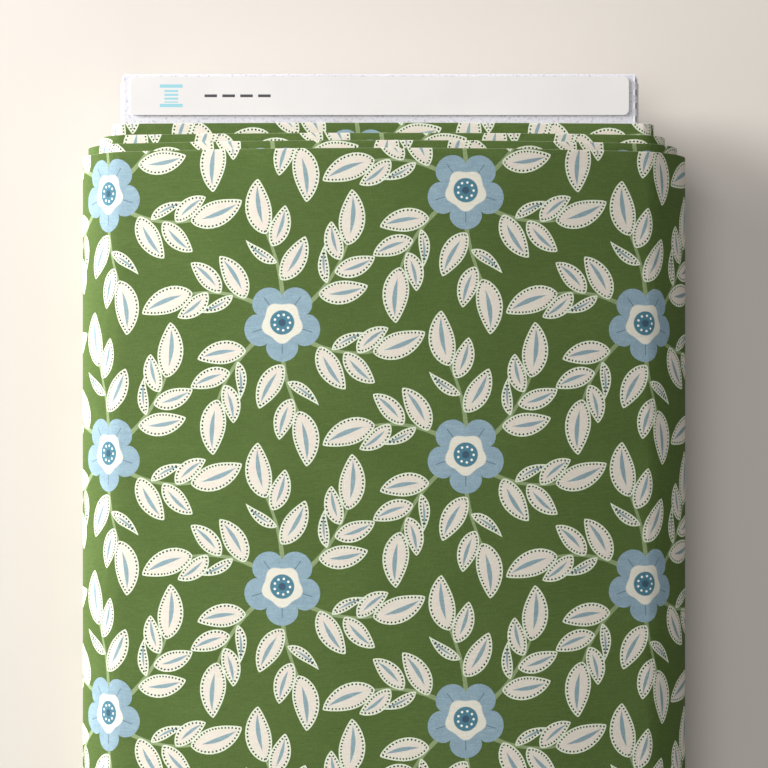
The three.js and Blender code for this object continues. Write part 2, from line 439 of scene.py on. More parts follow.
def slice_at(soup, axis, value):
    """Cuts every triangle of a soup (triangles, corners, numbers) along one line."""
    side = soup[:, :, axis] - value
    side[np.abs(side) < 1e-7] = 0
    crossed = (side.min(1) < 0) & (side.max(1) > 0)
    kept = [soup[~crossed]]
    cut, side = soup[crossed], side[crossed]
    if len(cut) == 0:
        return soup
    # Turn each triangle so that its first corner is alone on its side of the line, or on it.
    on_line = (side == 0).any(1)
    alone = np.where(
        on_line,
        (side == 0).argmax(1),
        np.where((side > 0).sum(1) == 1, (side > 0).argmax(1), (side < 0).argmax(1)),
    )
    rows = np.arange(len(cut))[:, None]
    order = (alone[:, None] + np.arange(3)) % 3
    cut, side = cut[rows, order], side[rows, order]
    a, b, c = cut[:, 0], cut[:, 1], cut[:, 2]
    sa, sb, sc = side[:, 0, None], side[:, 1, None], side[:, 2, None]
    with np.errstate(divide="ignore", invalid="ignore"):
        ab = a + (b - a) * (sa / (sa - sb))
        ac = a + (c - a) * (sa / (sa - sc))
        bc = b + (c - b) * (sb / (sb - sc))
    for point in (ab, ac, bc):
        point[:, axis] = value
    line = on_line
    kept.append(np.stack([a[line], b[line], bc[line]], 1))
    kept.append(np.stack([a[line], bc[line], c[line]], 1))
    free = ~on_line
    kept.append(np.stack([a[free], ab[free], ac[free]], 1))
    kept.append(np.stack([ab[free], b[free], c[free]], 1))
    kept.append(np.stack([ab[free], c[free], ac[free]], 1))
    return np.concatenate(kept)


def crop(soup, axis, low, high):
    """The part of a soup between two lines."""
    soup = slice_at(slice_at(soup, axis, low), axis, high)
    middle = soup[:, :, axis].mean(1)
    return soup[(middle > low) & (middle < high)]


def make_repeat():
    """One repeat of the print as triangles. Each corner holds its place on the cloth, its
    motif coordinates, its run along a leaf's edge and distance from it, and the region."""
    points, edges_from, faces, owners = [], 0, [], []

    def add_shape(outline, region, owner):
        nonlocal edges_from
        area = np.cross(outline, np.roll(outline, -1, axis=0)).sum()
        outline = outline if area > 0 else outline[::-1]
        points.extend(map(tuple, outline))
        faces.append(list(range(edges_from, edges_from + len(outline))))
        owners.append((region, owner))
        edges_from += len(outline)

    for column in range(-1, 2):
        for row in range(-1, 2):
            for half in (0, 0.5):
                middle = REPEAT * (np.array([column, row]) + half)
                for spray in SPRAYS:
                    stem, leaves = spray_parts(spray, middle)
                    if near_tile(stem):
                        add_shape(stem, STEM, None)
                    for leaf in leaves:
                        if near_tile(leaf.outline):
                            add_shape(leaf.outline, LEAF, leaf)
                            inner = leaf.inner_points()
                            points.extend(map(tuple, inner))
                            edges_from += len(inner)
                flower = flower_outline(middle)
                if near_tile(flower):
                    add_shape(flower, FLOWER, middle)
    margin = 30
    corners = [(-margin, -margin), (REPEAT[0] + margin, -margin)]
    corners += [(REPEAT[0] + margin, REPEAT[1] + margin), (-margin, REPEAT[1] + margin)]
    points.extend(corners)
    result = delaunay_2d_cdt(points, [], faces, 0, 1e-5, True)
    places = np.array([tuple(p) for p in result[0]])
    triangles = np.array([f for f in result[2] if len(f) == 3])
    origins = [o for f, o in zip(result[2], result[5]) if len(f) == 3]
    rank = {STEM: 1, LEAF: 2, FLOWER: 3}
    top = [max(o, key=lambda face: rank[owners[face][0]]) if o else -1 for o in origins]
    soup = np.zeros((len(triangles), 3, 7))
    soup[:, :, :2] = places[triangles]
    for face in set(top) - {-1}:
        region, owner = owners[face]
        rows = np.flatnonzero(np.array(top) == face)
        flat = soup[rows, :, :2].reshape(-1, 2)
        if region == LEAF:
            soup[rows, :, 2:4] = owner.own(flat).reshape(-1, 3, 2)
            soup[rows, :, 4:6] = owner.margin(flat).reshape(-1, 3, 2)
        elif region == FLOWER:
            own = turned(flat - owner, -FLOWER_TURN) / FLOWER_RADIUS
            soup[rows, :, 2:4] = own.reshape(-1, 3, 2)
        soup[rows, :, 6] = region
    return crop(crop(soup, 0, 0.0, REPEAT[0]), 1, 0.0, REPEAT[1])


def printed_cloth(repeat, low, high, phase):
    """The print over a rectangle of flat cloth, as a soup, with the repeat shifted by phase."""
    low, high = np.array(low, float), np.array(high, float)
    first = np.floor((low - phase) / REPEAT).astype(int)
    last = np.ceil((high - phase) / REPEAT).astype(int)
    tiles = []
    for column in range(first[0], last[0]):
        for row in range(first[1], last[1]):
            tile = repeat.copy()
            tile[:, :, :2] += phase + REPEAT * (column, row)
            tiles.append(tile)
    soup = np.concatenate(tiles)
    for axis in (0, 1):
        soup = crop(soup, axis, low[axis], high[axis])
    return soup


# ---- The winding: the path of the cloth round the board -------------------------------------

TURNS = {  # the doubled turns of the CAD's groups, from the board outwards
    "fabric_inner_turns": 7,
    "fabric_second_turns": 8,
    "fabric_third_turns": 9,
    "fabric_outer_turns": 4,
}
CLEARANCE = 0.3  # between the board and the first turn
SLACK = 2.4  # at the board's right side, where the first turns gape
BOARD_CORNER = 1.5  # radius of the first turn
CLOTH_WIDTH = 1118.0  # selvage to selvage
PLY = 0.17  # thickness of the cloth
PLY_GAP = 0.03  # between the two plies of a folded turn
CORNER_STEPS = 8
SIDE_STEPS = 6


def turn_walls():
    """The outside walls (left, right, back, front) and the fold's place, of every turn."""
    inside = np.array([BOARD_LEFT, BOARD_RIGHT + SLACK, BOARD_BACK, BOARD_FRONT])
    inside += np.array([-1, 0, -1, 1]) * CLEARANCE
    walls, folds = [], []
    for node, count in TURNS.items():
        low, high = millimetres(node)
        outside = np.array([low[0], high[0], low[2], high[2]])
        shares = np.arange(1, count + 1)[:, None] / count
        walls.extend(inside + (outside - inside) * shares)
        folds.extend([high[1]] * count)
        inside = outside
    walls = np.array(walls)
    # The last turn's right side is the tail, outside the group's right wall.
    last = TURNS["fabric_outer_turns"]
    start = walls[-last - 1, 1]
    walls[-last:-1, 1] = start + (OUTER_HIGH[0] - start) * np.arange(1, last) / (last - 1)
    walls[-1, 1] = TAIL_HIGH[0]
    return walls, np.array(folds)


WALLS, FOLDS = turn_walls()
LAST = len(WALLS) - 1


def arc(centre, radius, start, steps):
    """A quarter circle that turns clockwise, seen from the foot of the bolt."""
    angles = math.radians(start) - np.linspace(0, np.pi / 2, steps + 1)
    out = np.stack([np.cos(angles), np.sin(angles)], -1)
    return np.array(centre) + radius * out, out


def turn_path(turn):
    """Points and outward directions round one turn: from the right side's back edge under the
    board, up the left side, over the front and down the right side."""
    left, right, back, front = WALLS[turn]
    before = WALLS[max(turn - 1, 0)][1]
    radius = BOARD_CORNER + front - BOARD_FRONT
    corners = [
        ((before - radius, back + radius), 0),
        ((left + radius, back + radius), 270),
        ((left + radius, front - radius), 180),
        ((right - radius, front - radius), 90),
    ]
    points, outward = [], []
    for index, (centre, start) in enumerate(corners):
        place, out = arc(centre, radius, start, CORNER_STEPS)
        points.append(place)
        outward.append(out)
        if index in (0, 2):
            far = left + radius if index == 0 else right - radius
            share = np.linspace(0, 1, SIDE_STEPS + 1)[1:-1, None]
            points.append(place[-1] + share * (np.array([far, place[-1][1]]) - place[-1]))
            outward.append(np.repeat(out[-1:], SIDE_STEPS - 1, axis=0))
    return np.vstack(points), np.vstack(outward)


class Winding:
    """The whole path, with the run of cloth along it."""

    def __init__(self):
        points, outward, turns = [], [], []
        for turn in range(LAST + 1):
            place, out = turn_path(turn)
            points.append(place)
            outward.append(out)
            turns.append(np.full(len(place), turn))
        end = np.array([WALLS[LAST][1], TAIL_LOW[2]])
        points.append(end[None])
        outward.append(np.array([[1.0, 0.0]]))
        turns.append(np.array([LAST]))
        self.points = np.vstack(points)
        self.outward = np.vstack(outward)
        self.turn = np.concatenate(turns)
        step = np.linalg.norm(np.diff(self.points, axis=0), axis=1)
        self.run = np.concatenate([[0], np.cumsum(step)])
        self.length = self.run[-1]

    def run_at(self, turn, side, share):
        """The run where a turn passes a share of the way along a side: 0 under the board from
        its right, 1 up the left, 2 over the front from its left, 3 down the right."""
        rows = np.flatnonzero(self.turn == turn)
        first_steps = [CORNER_STEPS, 2 * CORNER_STEPS + SIDE_STEPS]
        first_steps += [3 * CORNER_STEPS + SIDE_STEPS + 1, 4 * CORNER_STEPS + 2 * SIDE_STEPS + 1]
        steps = [SIDE_STEPS, 1, SIDE_STEPS, 1]
        start = rows[0] + first_steps[side]
        return self.run[start] + share * (self.run[start + steps[side]] - self.run[start])

    def at(self, run):
        """Places, outward directions and turns at some runs."""
        place = np.stack([np.interp(run, self.run, self.points[:, k]) for k in (0, 1)], -1)
        out = np.stack([np.interp(run, self.run, self.outward[:, k]) for k in (0, 1)], -1)
        out /= np.linalg.norm(out, axis=-1, keepdims=True)
        row = np.clip(np.searchsorted(self.run, run, side="right") - 1, 0, len(self.run) - 1)
        return place, out, self.turn[row]


WINDING = Winding()
FOLD_RADIUS = PLY + PLY_GAP / 2
FOLD_START = (CLOTH_WIDTH - np.pi * FOLD_RADIUS) / 2  # run across the cloth where the fold begins
FOLD_END = CLOTH_WIDTH - FOLD_START
WAVE_HEIGHT = 0.22
FRONT_BULGE = 12.0  # how far the padded front stands out in its middle beside its long edges
BACK_BULGE = 2.0
random = np.random.default_rng(7)
WAVES = [
    (random.uniform(-1, 1, 3) * math.tau / random.uniform(70, 190), random.uniform(0, math.tau))
    for _ in range(7)
]
STAGGER = 0.55  # how far the folds of one group lie out of line
FOLD_STAGGER = random.uniform(-STAGGER, 0, LAST + 1)
for _index in np.cumsum(list(TURNS.values())) - 1:
    FOLD_STAGGER[_index] = 0
FOLD_PLACE = FOLDS + FOLD_STAGGER


def cloth_place(run, across, side):
    """Where cloth comes to lie: run along the winding, across it from the outer selvage, and
    side 0 for the printed face or 1 for the wrong one. All are arrays."""
    place, out, turn = WINDING.at(run)
    bend = np.clip((across - FOLD_START) / FOLD_RADIUS, 0, np.pi)
    radius = FOLD_RADIUS - side * PLY
    middle = FOLD_PLACE[turn] - FOLD_RADIUS
    y = middle + radius * np.sin(bend)
    y = y - np.maximum(FOLD_START - across, 0) - np.maximum(across - FOLD_END, 0)
    depth = -FOLD_RADIUS + radius * np.cos(bend)
    share = (turn + 1) / (LAST + 1)
    lift = depth + share * (bulge(place, out) + waves(place, y))
    spot = place + out * lift[..., None]
    return np.stack([spot[..., 0], y, spot[..., 1]], -1)


def bulge(place, out):
    """The broad faces are padded: the front stands proud in its middle, and under the bolt
    the long edges lift off the floor."""
    hollow = (place[..., 0] / OUTER_HIGH[0]) ** 2
    front = FRONT_BULGE * (0.45 - hollow) * np.maximum(out[..., 1], 0)
    return front + BACK_BULGE * hollow * np.minimum(out[..., 1], 0)


def waves(place, y):
    """Soft unevenness, strongest on the broad faces."""
    wave = sum(
        np.sin(place[..., 0] * k[0] + y * k[1] + place[..., 1] * k[2] + phase)
        for k, phase in WAVES
    )
    calm = np.clip(1.6 - 1.3 * np.abs(place[..., 0]) / OUTER_HIGH[0], 0.25, 1)
    return WAVE_HEIGHT * (wave / len(WAVES) - 0.9) * calm


# ---- Cloth meshes ---------------------------------------------------------------------------

WRONG_SIDE, HIDDEN_PRINT = 4, 5  # more regions, beside those of the print
CORNER_DATA = ("motif", "margin", "flat")


def cloth_patch(runs, across, side, region):
    """A grid of cloth as a soup of the same form as the print's, with its side."""
    u, v = np.meshgrid(runs, across, indexing="ij")
    grid = np.zeros(u.shape + (7,))
    grid[..., 0], grid[..., 1], grid[..., 5], grid[..., 6] = u, v, RIM_DEPTH, region
    a, b, c, d = grid[:-1, :-1], grid[1:, :-1], grid[1:, 1:], grid[:-1, 1:]
    a, b, c, d = (corner.reshape(-1, 7) for corner in (a, b, c, d))
    soup = np.concatenate([np.stack([a, b, c], 1), np.stack([a, c, d], 1)])
    return (soup[:, ::-1] if side else soup), side


def cloth_rim(ends, other, along):
    """A strip that closes the cloth's edge between its two faces. Along is 0 for an edge that
    runs with the winding and 1 for one across it; ends is the pair (place, direction)."""
    place, direction = ends
    near = np.zeros((len(other), 8))
    near[:, along] = other
    near[:, 1 - along] = place
    near[:, 5], near[:, 6] = RIM_DEPTH, WRONG_SIDE
    far = near.copy()
    far[:, 7] = 1
    a, b, c, d = near[:-1], near[1:], far[1:], far[:-1]
    strip = np.concatenate([np.stack([a, b, c], 1), np.stack([a, c, d], 1)])
    return strip if direction > 0 else strip[:, ::-1]


def build_cloth(name, parts, rims, material):
    """An object from soups with their sides, and rim strips. Corners that share a place on the
    cloth share a vertex."""
    full = [np.concatenate([s, np.full(s.shape[:2] + (1,), side)], 2) for s, side in parts]
    soup = np.concatenate(full + rims)
    corners = soup.reshape(-1, 8)
    key = np.round(corners[:, [0, 1, 7]] * 1000).astype(np.int64)
    _, first, index = np.unique(key, axis=0, return_index=True, return_inverse=True)
    index = index.reshape(-1, 3)
    whole = (index[:, 0] != index[:, 1]) & (index[:, 1] != index[:, 2])
    whole &= index[:, 0] != index[:, 2]
    index, soup = index[whole], soup[whole]
    flat = corners[first]
    places = cloth_place(flat[:, 0], flat[:, 1], flat[:, 7]) / MM
    mesh = bpy.data.meshes.new(name)
    mesh.vertices.add(len(places))
    mesh.vertices.foreach_set("co", places.ravel())
    mesh.loops.add(index.size)
    mesh.loops.foreach_set("vertex_index", index.ravel())
    mesh.polygons.add(len(index))
    mesh.polygons.foreach_set("loop_start", np.arange(0, index.size, 3))
    mesh.update(calc_edges=True)
    corners = soup.reshape(-1, 8)
    selvage = np.minimum(corners[:, 1], CLOTH_WIDTH - corners[:, 1])
    values = {
        "motif": corners[:, [2, 3, 6]],
        "margin": np.column_stack([corners[:, 4:6], corners[:, 7]]),
        "flat": np.column_stack([corners[:, :2], selvage]),
    }
    for label in CORNER_DATA:
        layer = mesh.attributes.new(label, "FLOAT_VECTOR", "CORNER")
        layer.data.foreach_set("vector", values[label].astype(np.float32).ravel())
    mesh.shade_smooth()
    mesh.materials.append(material)
    cloth = bpy.data.objects.new(name, mesh)
    bpy.context.collection.objects.link(cloth)
    return cloth


FOLD_STEPS = np.linspace(FOLD_START, FOLD_END, 7)
PRINT_END = FOLD_END + 3  # how far the print is drawn past the fold, on the hidden ply


def printed_part(repeat, phase, first_run, last_run, low, high):
    """The print over part of the winding, cut where the cloth bends."""
    soup = printed_cloth(repeat, (first_run, low), (last_run, high), phase)
    bends = WINDING.run[(WINDING.run > first_run) & (WINDING.run < last_run)]
    for run in bends:
        soup = slice_at(soup, 0, run)
    for across in FOLD_STEPS[(FOLD_STEPS > low) & (FOLD_STEPS < high)]:
        soup = slice_at(soup, 1, across)
    return soup


def runs_between(first, last):
    inside = WINDING.run[(WINDING.run > first + 1e-3) & (WINDING.run < last - 1e-3)]
    return np.concatenate([[first], inside, [last]])


def folded_cloth(name, repeat, phase, first, last, printed_inside, material):
    """A length of the doubled cloth with its print: both plies, the fold and the selvages. The
    inner ply's print is drawn from the run printed_inside on, where it may be seen."""
    runs = runs_between(first, last)
    wide = np.arange(0, FOLD_START, 40)
    back = np.concatenate([[FOLD_END + 3], np.arange(FOLD_END + 40, CLOTH_WIDTH, 40)])
    full = np.concatenate([wide, FOLD_STEPS, back, [CLOTH_WIDTH]])
    hidden = runs_between(first, printed_inside) if printed_inside else runs
    parts = [
        (printed_part(repeat, phase, first, last, 0.0, PRINT_END), 0),
        cloth_patch(hidden, np.concatenate([back, [CLOTH_WIDTH]]), 0, HIDDEN_PRINT),
        cloth_patch(runs, full, 1, WRONG_SIDE),
    ]
    if printed_inside:
        parts.append(
            (printed_part(repeat, phase, printed_inside, last, PRINT_END, CLOTH_WIDTH), 0)
        )
    rims = [
        cloth_rim((0.0, -1), runs, 0),
        cloth_rim((CLOTH_WIDTH, 1), runs, 0),
        cloth_rim((first, 1), full, 1),
        cloth_rim((last, -1), full, 1),
    ]
    return build_cloth(name, parts, rims, material)


def wound_cloth(repeat, phase, last, material):
    """The rest of the bolt: every turn under the outer ones, as one long folded cloth. The
    print is drawn where the groups of turns stand out at the label end."""
    runs = runs_between(0.0, last)
    stepped = np.cumsum(list(TURNS.values()))[:-1] - 1
    near_fold = FOLD_START - 9
    plain = np.concatenate([[0, 12, FOLD_START / 2], [near_fold]])
    fold = np.concatenate([[near_fold, FOLD_START - 3], FOLD_STEPS, [PRINT_END]])
    back = np.array([PRINT_END, CLOTH_WIDTH - 12, CLOTH_WIDTH])
    full = np.concatenate([plain, fold[1:], back[1:]])
    parts = [
        cloth_patch(runs, plain, 0, HIDDEN_PRINT),
        cloth_patch(runs, back, 0, HIDDEN_PRINT),
        cloth_patch(runs, full, 1, WRONG_SIDE),
    ]
    begun = 0.0
    for turn in stepped:
        start, end = WINDING.run_at(turn, 0, 0.0), WINDING.run_at(turn, 3, 1.0)
        parts.append(cloth_patch(runs_between(begun, start), fold, 0, HIDDEN_PRINT))
        parts.append((printed_part(repeat, phase, start, end, near_fold, PRINT_END), 0))
        begun = end
    parts.append(cloth_patch(runs_between(begun, last), fold, 0, HIDDEN_PRINT))
    rims = [
        cloth_rim((0.0, -1), runs, 0),
        cloth_rim((CLOTH_WIDTH, 1), runs, 0),
        cloth_rim((0.0, 1), full, 1),
        cloth_rim((last, -1), full, 1),
    ]
    return build_cloth("fabric_wound", parts, rims, material)


# ---- The board ------------------------------------------------------------------------------

CREASE_RADIUS = 1.6  # outside, along the board's long folds
CREASE_STEPS = 4
EDGE_BEVEL = 0.35
SHARP_ANGLE = math.radians(35)  # a sharper fold than this keeps a hard edge
LIP = FRONT_HIGH[1] - BACK_HIGH[1]  # how far the front panel runs past the others


def mesh_object(name, places, faces, material):
    mesh = bpy.data.meshes.new(name)
    mesh.from_pydata([tuple(p) for p in places], [], faces)
    mesh.materials.append(material)
    mesh.update()
    mesh.shade_smooth()
    mesh.set_sharp_from_angle(angle=SHARP_ANGLE)
    made = bpy.data.objects.new(name, mesh)
    bpy.context.collection.objects.link(made)
    return made


def tube_outline(inset):
    """The board's cross-section, as (x, z) points, drawn in from its outside by inset."""
    left, right = BOARD_LEFT + inset, BOARD_RIGHT - inset
    back, front = BOARD_BACK + inset, BOARD_FRONT - inset
    radius = max(CREASE_RADIUS - inset, 0.25)
    corners = [
        ((right - radius, back + radius), 0),
        ((left + radius, back + radius), 270),
        ((left + radius, front - radius), 180),
        ((right - radius, front - radius), 90),
    ]
    return np.vstack([arc(centre, radius, start, CREASE_STEPS)[0] for centre, start in corners])


def board_tube(material):
    """The four long panels as one creased sheet. The front one reaches past the others."""
    rings = []
    per_corner = CREASE_STEPS + 1
    front = np.zeros(4 * per_corner, bool)
    front[3 * per_corner - 1] = front[3 * per_corner] = True
    stops = [-1, -0.998, -0.6, -0.2, 0.2, 0.6, 0.998, 1]
    for inset, order in ((0.0, stops), (SHEET, stops[::-1])):
        outline = tube_outline(inset)
        for stop in order:
            reach = BACK_HIGH[1] + LIP * front
            blunt = EDGE_BEVEL * 0.5 if abs(stop) == 1 else 0
            ring = tube_outline(inset + (blunt if inset == 0 else -blunt))
            ring = ring if abs(stop) == 1 else outline
            rings.append(np.stack([ring[:, 0], stop * reach, ring[:, 1]], -1))
    count = len(rings[0])
    faces = []
    for index in range(len(rings)):
        after = (index + 1) % len(rings)
        for k in range(count):
            nxt = (k + 1) % count
            faces.append(
                (index * count + k, index * count + nxt, after * count + nxt, after * count + k)
            )
    tube = mesh_object("board_tube", np.vstack(rings) / MM, faces, material)
    for polygon in tube.data.polygons:
        between_corners = polygon.index % per_corner == CREASE_STEPS
        polygon.use_smooth = not between_corners
    return tube


def rounded_copy(node, name, bevel, material):
    """A CAD plate with softened edges, as a piece of its own."""
    source = next(o for o in bpy.context.scene.objects if o.get("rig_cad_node") == node)
    shape = bmesh.new()
    shape.from_mesh(source.data)
    shape.transform(source.matrix_world)
    bmesh.ops.dissolve_limit(shape, angle_limit=0.01, verts=shape.verts, edges=shape.edges)
    sharp = [e for e in shape.edges if e.calc_face_angle(0) > 0.5]
    bevelled = bmesh.ops.bevel(
        shape, geom=sharp, offset=bevel / MM, segments=2, profile=0.6, affect="EDGES"
    )
    for face in shape.faces:
        face.smooth = False
    for face in bevelled["faces"]:
        face.smooth = True
    mesh = bpy.data.meshes.new(name)
    shape.to_mesh(mesh)
    shape.free()
    mesh.set_sharp_from_angle(angle=SHARP_ANGLE)
    mesh.materials.append(material)
    made = bpy.data.objects.new(name, mesh)
    bpy.context.collection.objects.link(made)
    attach(made, body_of(source)[0])
    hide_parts(node)
    return made


PLATES = {  # CAD node: name of its finished piece
    "board_glue_flap": "glue_flap",
    "board_spacer": "folded_spacer",
    "label_end_tuck_flap": "label_end_flap",
    "label_end_tuck_tongue": "label_end_tongue",
    "label_end_dust_flap_left": "label_end_dust_left",
    "label_end_dust_flap_right": "label_end_dust_right",
    "foot_end_tuck_flap": "foot_end_flap",
    "foot_end_tuck_tongue": "foot_end_tongue",
    "foot_end_dust_flap_left": "foot_end_dust_left",
    "foot_end_dust_flap_right": "foot_end_dust_right",
}


def add_board():
    material = board_material()
    tube = board_tube(material)
    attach(tube, "bolt")
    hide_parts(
        "board_front_panel", "board_back_panel", "board_left_side", "board_right_side"
    )
    for node, name in PLATES.items():
        rounded_copy(node, name, EDGE_BEVEL, material)
    label = rounded_copy("end_label", "label", 0.08, label_material())
    tape = tape_material()
    for index in (1, 2, 3):
        node = f"start_tape_{index}"
        rounded_copy(node, f"tape_{index}", 0.08, tape)


# ---- Materials ------------------------------------------------------------------------------

GREEN = linear(88, 110, 58)
CREAM = linear(226, 217, 208)
LEAF_RIM = linear(221, 228, 210)
LEAF_DOT = linear(62, 54, 46)
MIDRIB = linear(144, 171, 179)
STEM_GREEN = linear(146, 165, 120)
PETAL = linear(145, 172, 187)
PETAL_LIGHT = linear(153, 180, 192)
PETAL_LINE = linear(98, 122, 138)
FLOWER_CREAM = linear(227, 225, 213)
FLOWER_HEART = linear(84, 134, 152)
HEART_RIM = linear(70, 96, 116)
WHITE = linear(246, 246, 240)
WRONG_GREEN = linear(150, 168, 132)
SELVAGE = linear(233, 228, 214)
DOT_PITCH = 1.45  # of the dots along a leaf's edge
DOT_DEPTH = 0.85
DOT_RADIUS = 0.36
RING_EDGE = 0.50  # of the cream ring in a flower, beside the flower's radius
VEIN_END = 0.82
HEART_EDGE = 0.31
DOT_RING = 0.2
HEART_DOTS = 9
RIB_FROM, RIB_TO = 0.2, 0.88  # of a leaf's midrib, along the leaf
SELVAGE_WIDTH = 11.0


def leaf_colours(s, share, across, run, depth):
    patches = s.noise(s.attribute("flat")[1], 0.25).ramp(0.35, 0.65) * 0.35
    colour = s.mix(depth.ramp(0.8, 1.6), LEAF_RIM, s.mix(patches, CREAM, LEAF_RIM))
    waist = ((share - RIB_FROM) * (math.pi / (RIB_TO - RIB_FROM))).math("SINE")
    rib = (across.math("ABSOLUTE") - waist * 0.082).ramp(0.006, -0.006)
    inner = (share > RIB_FROM) * (share < RIB_TO)
    colour = s.mix(rib * inner, colour, MIDRIB)
    off = (run / DOT_PITCH).math("FRACT") - 0.5
    reach = (off * DOT_PITCH).hypot(depth - DOT_DEPTH)
    return s.mix(reach.ramp(DOT_RADIUS + 0.06, DOT_RADIUS - 0.06), colour, LEAF_DOT)


def flower_colours(s, x, y):
    """Blue petals with a vein each round a pale ring, and a ring of dots in the heart."""
    radius = x.hypot(y)
    angle = y.math("ARCTAN2", x)
    shade = s.noise(s.attribute("flat")[1], 0.22)
    colour = s.mix(shade.ramp(0.3, 0.7), PETAL, PETAL_LIGHT)
    across = (angle * (PETALS / 2)).math("COSINE").math("ABSOLUTE") * radius
    vein = across.ramp(0.035, 0.015) * radius.ramp(VEIN_END, VEIN_END - 0.02)
    colour = s.mix(vein, colour, PETAL_LINE)
    ring = radius + (angle * PETALS).math("COSINE") * 0.04
    colour = s.mix(ring.ramp(RING_EDGE + 0.015, RING_EDGE - 0.015), colour, FLOWER_CREAM)
    colour = s.mix(radius.ramp(HEART_EDGE + 0.01, HEART_EDGE - 0.01), colour, FLOWER_HEART)
    off = (angle * (HEART_DOTS / math.tau)).math("FRACT") - 0.5
    reach = (off * (math.tau * DOT_RING / HEART_DOTS)).hypot(radius - DOT_RING)
    colour = s.mix(reach.ramp(0.036, 0.026), colour, WHITE)
    return s.mix(radius.ramp(0.1, 0.085), colour, HEART_RIM)


def selvage_colours(s, colour, run, selvage):
    """An unprinted edge with a row of small round colour marks."""
    colour = s.mix(selvage.ramp(SELVAGE_WIDTH + 0.3, SELVAGE_WIDTH - 0.3), colour, SELVAGE)
    place = run / REPEAT[0]
    place = (place - place.math("FLOOR")) * REPEAT[0]
    for index, mark in enumerate((GREEN, PETAL, STEM_GREEN, FLOWER_HEART)):
        gap = (place - (20 + index * 9)).hypot(selvage - SELVAGE_WIDTH / 2)
        colour = s.mix(gap.ramp(2.4, 2.1), colour, mark)
    return colour


def cotton_material():
    s = Surface("printed_cotton", 0.9, sheen=0.02)
    s.shader.inputs["Specular IOR Level"].default_value = 0.12
    (first, second, region), _ = s.attribute("motif")
    (edge_run, edge_depth, _), _ = s.attribute("margin")
    (run, across, selvage), flat = s.attribute("flat")
    cloudy = s.noise(flat, 0.035, 3)
    colour = s.mix(cloudy.ramp(0.3, 0.7), linear(85, 107, 55), linear(91, 113, 60))
    is_leaf = (region - LEAF).math("ABSOLUTE") < 0.5
    colour = s.mix(is_leaf, colour, leaf_colours(s, first, second, edge_run, edge_depth))
    is_flower = (region - FLOWER).math("ABSOLUTE") < 0.5
    colour = s.mix(is_flower, colour, flower_colours(s, first, second))
    is_stem = (region - STEM).math("ABSOLUTE") < 0.5
    colour = s.mix(is_stem, colour, STEM_GREEN)
    patches = s.noise(flat, 0.11, 1)
    rough_print = s.mix(patches.ramp(0.54, 0.56), GREEN, CREAM)
    rough_print = s.mix(patches.ramp(0.40, 0.39), rough_print, PETAL)
    colour = s.mix(region > HIDDEN_PRINT - 0.5, colour, rough_print)
    crease = (across - CLOTH_WIDTH / 2).math("ABSOLUTE").ramp(0.35, 0.1)
    colour = s.mix(crease * 0.22, colour, SELVAGE)
    colour = selvage_colours(s, colour, run, selvage)
    wrong = (region - WRONG_SIDE).math("ABSOLUTE") < 0.5
    colour = s.mix(wrong, colour, WRONG_GREEN)
    warp = s.noise(s.stretched(flat, (2.6, 0.22, 1)), 1.0)
    weft = s.noise(s.stretched(flat, (0.22, 2.6, 1)), 1.0)
    threads = (warp + weft) * 0.5
    colour = s.mix(threads.ramp(0.35, 0.65) * 0.45, colour, s.grey(threads * 0.4), "OVERLAY")
    s.paint(colour)
    s.rough(threads * 0.16 + 0.80)
    s.bump(threads, 0.0003, 0.5)
    return s.material


FLUTE_PITCH = 6.4
LINER = 0.42  # thickness of the board's facing papers
DASH_PITCH = 5.2  # of the cuts along the board's long creases
DASH_LENGTH = 2.3
DASH_INSET = 1.25  # from the board's side to the cuts
DASH_WIDTH = 0.42


def axis_fields(s, vector, scale=1.0):
    split = s.tree.nodes.new("ShaderNodeSeparateXYZ")
    s.tree.links.new(vector, split.inputs[0])
    return [Field(s.tree, output) * scale for output in split.outputs]


def crease_cuts(s, colour, x, y, z):
    """The row of short cuts along each long crease, drawn as painted shade: dark on the right crease and
    faint grey on the left, with a painted highlight as a pale lip beside each right-hand cut.
    """
    on_face = (z > BOARD_FRONT - 0.4) + (z < BOARD_BACK + 0.4)
    step = (y / DASH_PITCH).math("FRACT")
    step = (step + 1).math("FRACT")
    in_dash = (step < DASH_LENGTH / DASH_PITCH) * on_face
    from_right = (x - (BOARD_RIGHT - DASH_INSET)).math("ABSOLUTE")
    from_left = (x - (BOARD_LEFT + DASH_INSET * 0.4)).math("ABSOLUTE")
    # Patchy noise that breaks up the painted shade of the left-hand cuts.
    patchy_shade = s.noise(s.place(), 60, 3)
    # Painted highlight: a pale lip beside each cut on the right crease.
    painted_highlight_lip = (x - (BOARD_RIGHT - DASH_INSET - 0.75)).math("ABSOLUTE").ramp(0.55, 0.15)
    colour = s.mix(painted_highlight_lip * in_dash * 0.8, colour, linear(246, 246, 248))
    # Painted shade: the cuts on the right crease drawn dark.
    colour = s.mix(from_right.ramp(DASH_WIDTH, 0.1) * in_dash, colour, linear(96, 98, 110))
    # Painted shade, fainter: the cuts on the left crease drawn grey.
    faint = from_left.ramp(DASH_WIDTH, 0.1) * in_dash * patchy_shade.ramp(0.45, 0.6)
    return s.mix(faint * 0.6, colour, linear(150, 150, 158))


